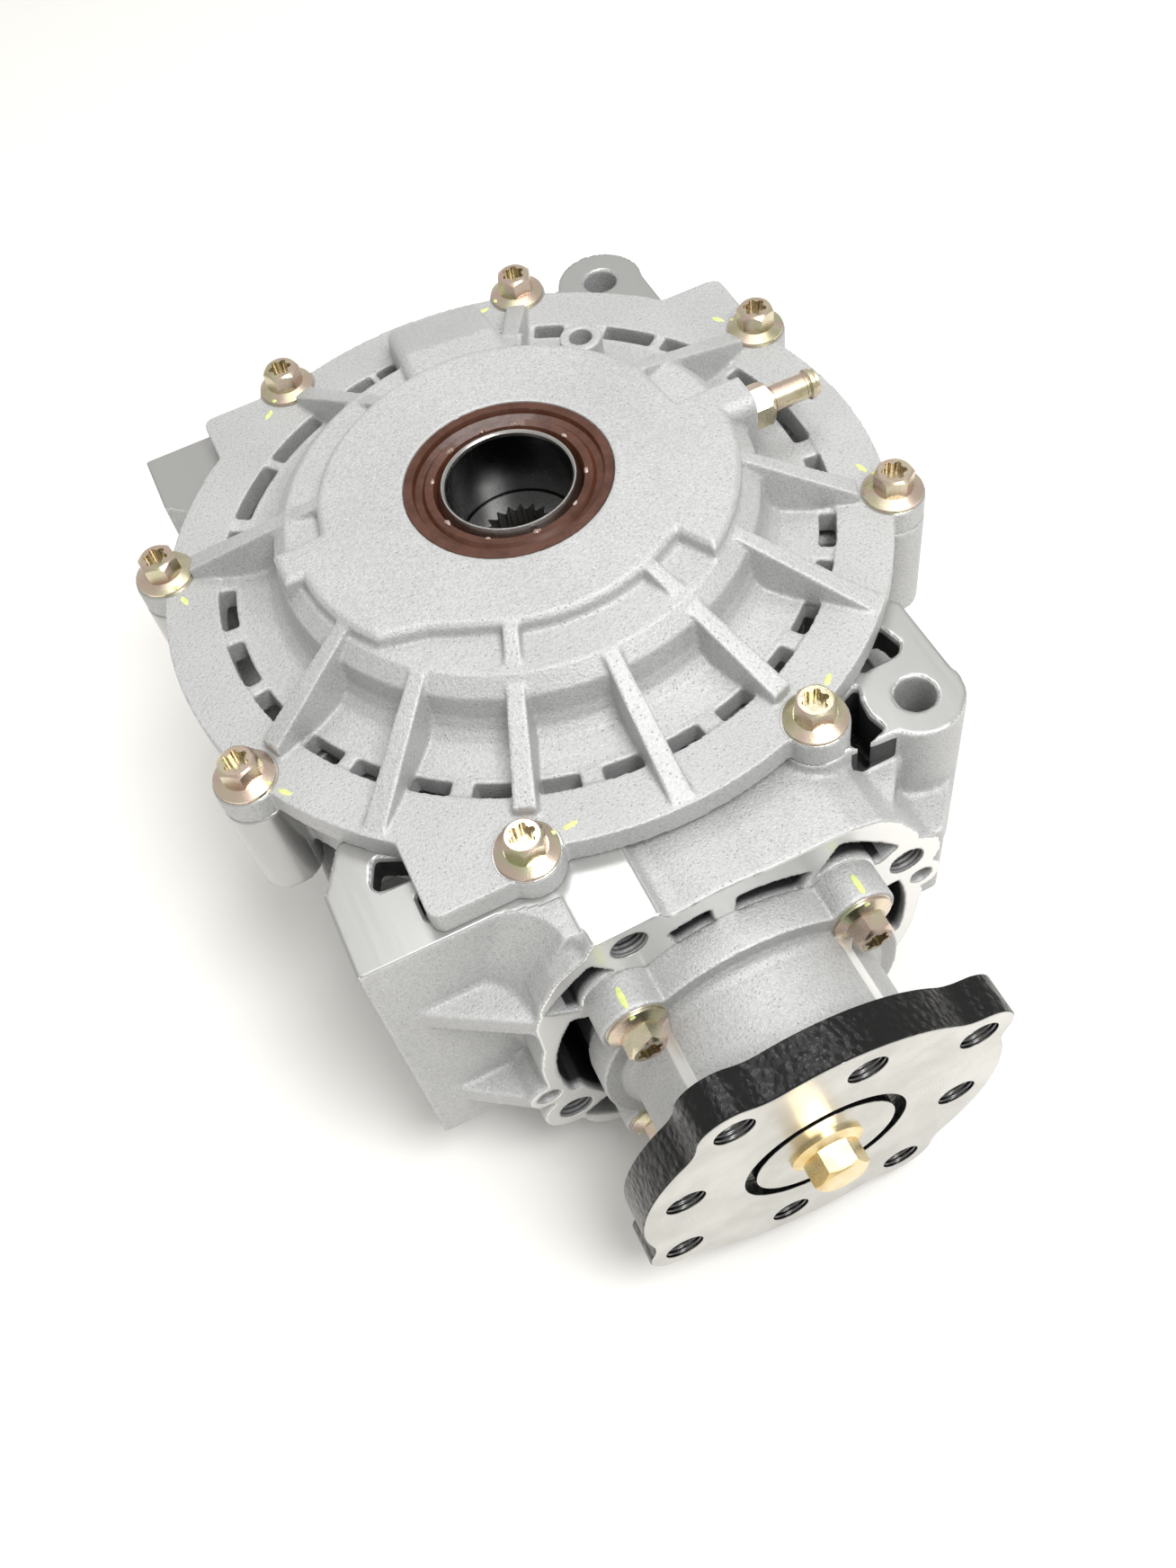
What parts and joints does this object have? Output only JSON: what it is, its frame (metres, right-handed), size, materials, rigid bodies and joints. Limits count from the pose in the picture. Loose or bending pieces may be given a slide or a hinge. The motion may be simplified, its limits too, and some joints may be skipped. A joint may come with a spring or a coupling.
{
  "type": "rear axle drive unit",
  "caption": "Final drive for a driven axle: ribbed bolt-on side cover, splined wheel outputs, bevel gear and differential inside a cast case, round drive flange in front.",
  "frame": {"origin": "middle of the upper output bore, level with the seats of the cover screws", "axes": "+Z along the wheel outputs and out of the cover, -Y out of the drive flange, +X towards the breather"},
  "size_m": [0.2266, 0.3157, 0.1646],
  "materials": {
    "cast_aluminium": "fine sand-textured casting, milled seats",
    "zinc_yellow": "yellow chromate zinc plate",
    "seal_rubber": "glossy brown, greased",
    "ring_rubber": "satin black",
    "flange_steel": "turned face, black painted rim",
    "machined_steel": "machined and ground",
    "dark_steel": "black oxide",
    "case_iron": "cast, turned journals",
    "bearing_steel": "ground"
  },
  "bodies": {
    "housing_group": {"housing": "cast_aluminium", "cover": "cast_aluminium", "cover_ring": "ring_rubber", "upper_output_seal": "seal_rubber", "lower_output_seal": "seal_rubber", "breather_fitting": "zinc_yellow", "fill_plug": "zinc_yellow", "drain_plug": "zinc_yellow", "input_cartridge": "cast_aluminium", "cartridge_ring": "ring_rubber", "input_seal": "seal_rubber", "upper_bearing_cup": "bearing_steel", "lower_bearing_cup": "bearing_steel", "head_bearing_cup": "bearing_steel", "tail_bearing_cup": "bearing_steel", "cover_bolt_1": "zinc_yellow", "cover_bolt_2": "zinc_yellow", "cover_bolt_3": "zinc_yellow", "cover_bolt_4": "zinc_yellow", "cover_bolt_5": "zinc_yellow", "cover_bolt_6": "zinc_yellow", "cover_bolt_7": "zinc_yellow", "cover_bolt_8": "zinc_yellow", "cartridge_bolt_1": "zinc_yellow", "cartridge_bolt_2": "zinc_yellow", "cartridge_bolt_3": "zinc_yellow", "cartridge_bolt_4": "zinc_yellow", "cover_dowel_1": "machined_steel", "cover_dowel_2": "machined_steel"},
    "differential": {"differential_case": "case_iron", "ring_gear": "machined_steel", "ring_gear_bolts": "dark_steel", "cross_pin": "machined_steel", "cross_pin_lock": "machined_steel", "upper_bearing_cone": "bearing_steel", "lower_bearing_cone": "bearing_steel", "upper_side_washer": "dark_steel", "lower_side_washer": "dark_steel", "left_spider_washer": "dark_steel", "right_spider_washer": "dark_steel"},
    "input": {"input_pinion": "machined_steel", "bearing_spacer": "machined_steel", "companion_flange": "flange_steel", "flange_centre_bolt": "zinc_yellow", "head_bearing_cone": "bearing_steel", "tail_bearing_cone": "bearing_steel"},
    "upper_output": {"upper_side_gear": "machined_steel"},
    "lower_output": {"lower_side_gear": "machined_steel"},
    "left_spider": {"left_spider_gear": "machined_steel"},
    "right_spider": {"right_spider_gear": "machined_steel"},
    "upper_rollers": {"upper_bearing_rollers": "bearing_steel"},
    "lower_rollers": {"lower_bearing_rollers": "bearing_steel"},
    "head_rollers": {"head_bearing_rollers": "bearing_steel"},
    "tail_rollers": {"tail_bearing_rollers": "bearing_steel"}
  },
  "joints": [
    {"name": "case_spin", "type": "hinge", "parent": "housing_group", "child": "differential", "pos_m": [0, 0, -0.074], "axis": [0, 0, 1], "continuous": true},
    {"name": "input_spin", "type": "hinge", "parent": "housing_group", "child": "input", "pos_m": [0, -0.12, -0.074], "axis": [0, 1, 0], "continuous": true},
    {"name": "upper_side_spin", "type": "hinge", "parent": "differential", "child": "upper_output", "pos_m": [0, 0, -0.05], "axis": [0, 0, 1], "continuous": true},
    {"name": "lower_side_spin", "type": "hinge", "parent": "differential", "child": "lower_output", "pos_m": [0, 0, -0.098], "axis": [0, 0, 1], "continuous": true},
    {"name": "left_spider_spin", "type": "hinge", "parent": "differential", "child": "left_spider", "pos_m": [-0.025, 0, -0.074], "axis": [1, 0, 0], "continuous": true},
    {"name": "right_spider_spin", "type": "hinge", "parent": "differential", "child": "right_spider", "pos_m": [0.025, 0, -0.074], "axis": [1, 0, 0], "continuous": true},
    {"name": "upper_roller_spin", "type": "hinge", "parent": "housing_group", "child": "upper_rollers", "pos_m": [0, 0, 0.0015], "axis": [0, 0, 1], "continuous": true},
    {"name": "lower_roller_spin", "type": "hinge", "parent": "housing_group", "child": "lower_rollers", "pos_m": [0, 0, -0.1175], "axis": [0, 0, 1], "continuous": true},
    {"name": "head_roller_spin", "type": "hinge", "parent": "housing_group", "child": "head_rollers", "pos_m": [0, -0.085, -0.074], "axis": [0, 1, 0], "continuous": true},
    {"name": "tail_roller_spin", "type": "hinge", "parent": "housing_group", "child": "tail_rollers", "pos_m": [0, -0.156, -0.074], "axis": [0, 1, 0], "continuous": true}
  ],
  "couplings": [
    {"joint": "input_spin", "follows": "case_spin", "ratio": 2.8182},
    {"joint": "lower_side_spin", "follows": "upper_side_spin", "ratio": -1},
    {"joint": "left_spider_spin", "follows": "upper_side_spin", "ratio": 1.6},
    {"joint": "right_spider_spin", "follows": "upper_side_spin", "ratio": -1.6},
    {"joint": "upper_roller_spin", "follows": "case_spin", "ratio": 0.45},
    {"joint": "lower_roller_spin", "follows": "case_spin", "ratio": 0.45},
    {"joint": "head_roller_spin", "follows": "case_spin", "ratio": 1.1555},
    {"joint": "tail_roller_spin", "follows": "case_spin", "ratio": 1.1667}
  ]
}
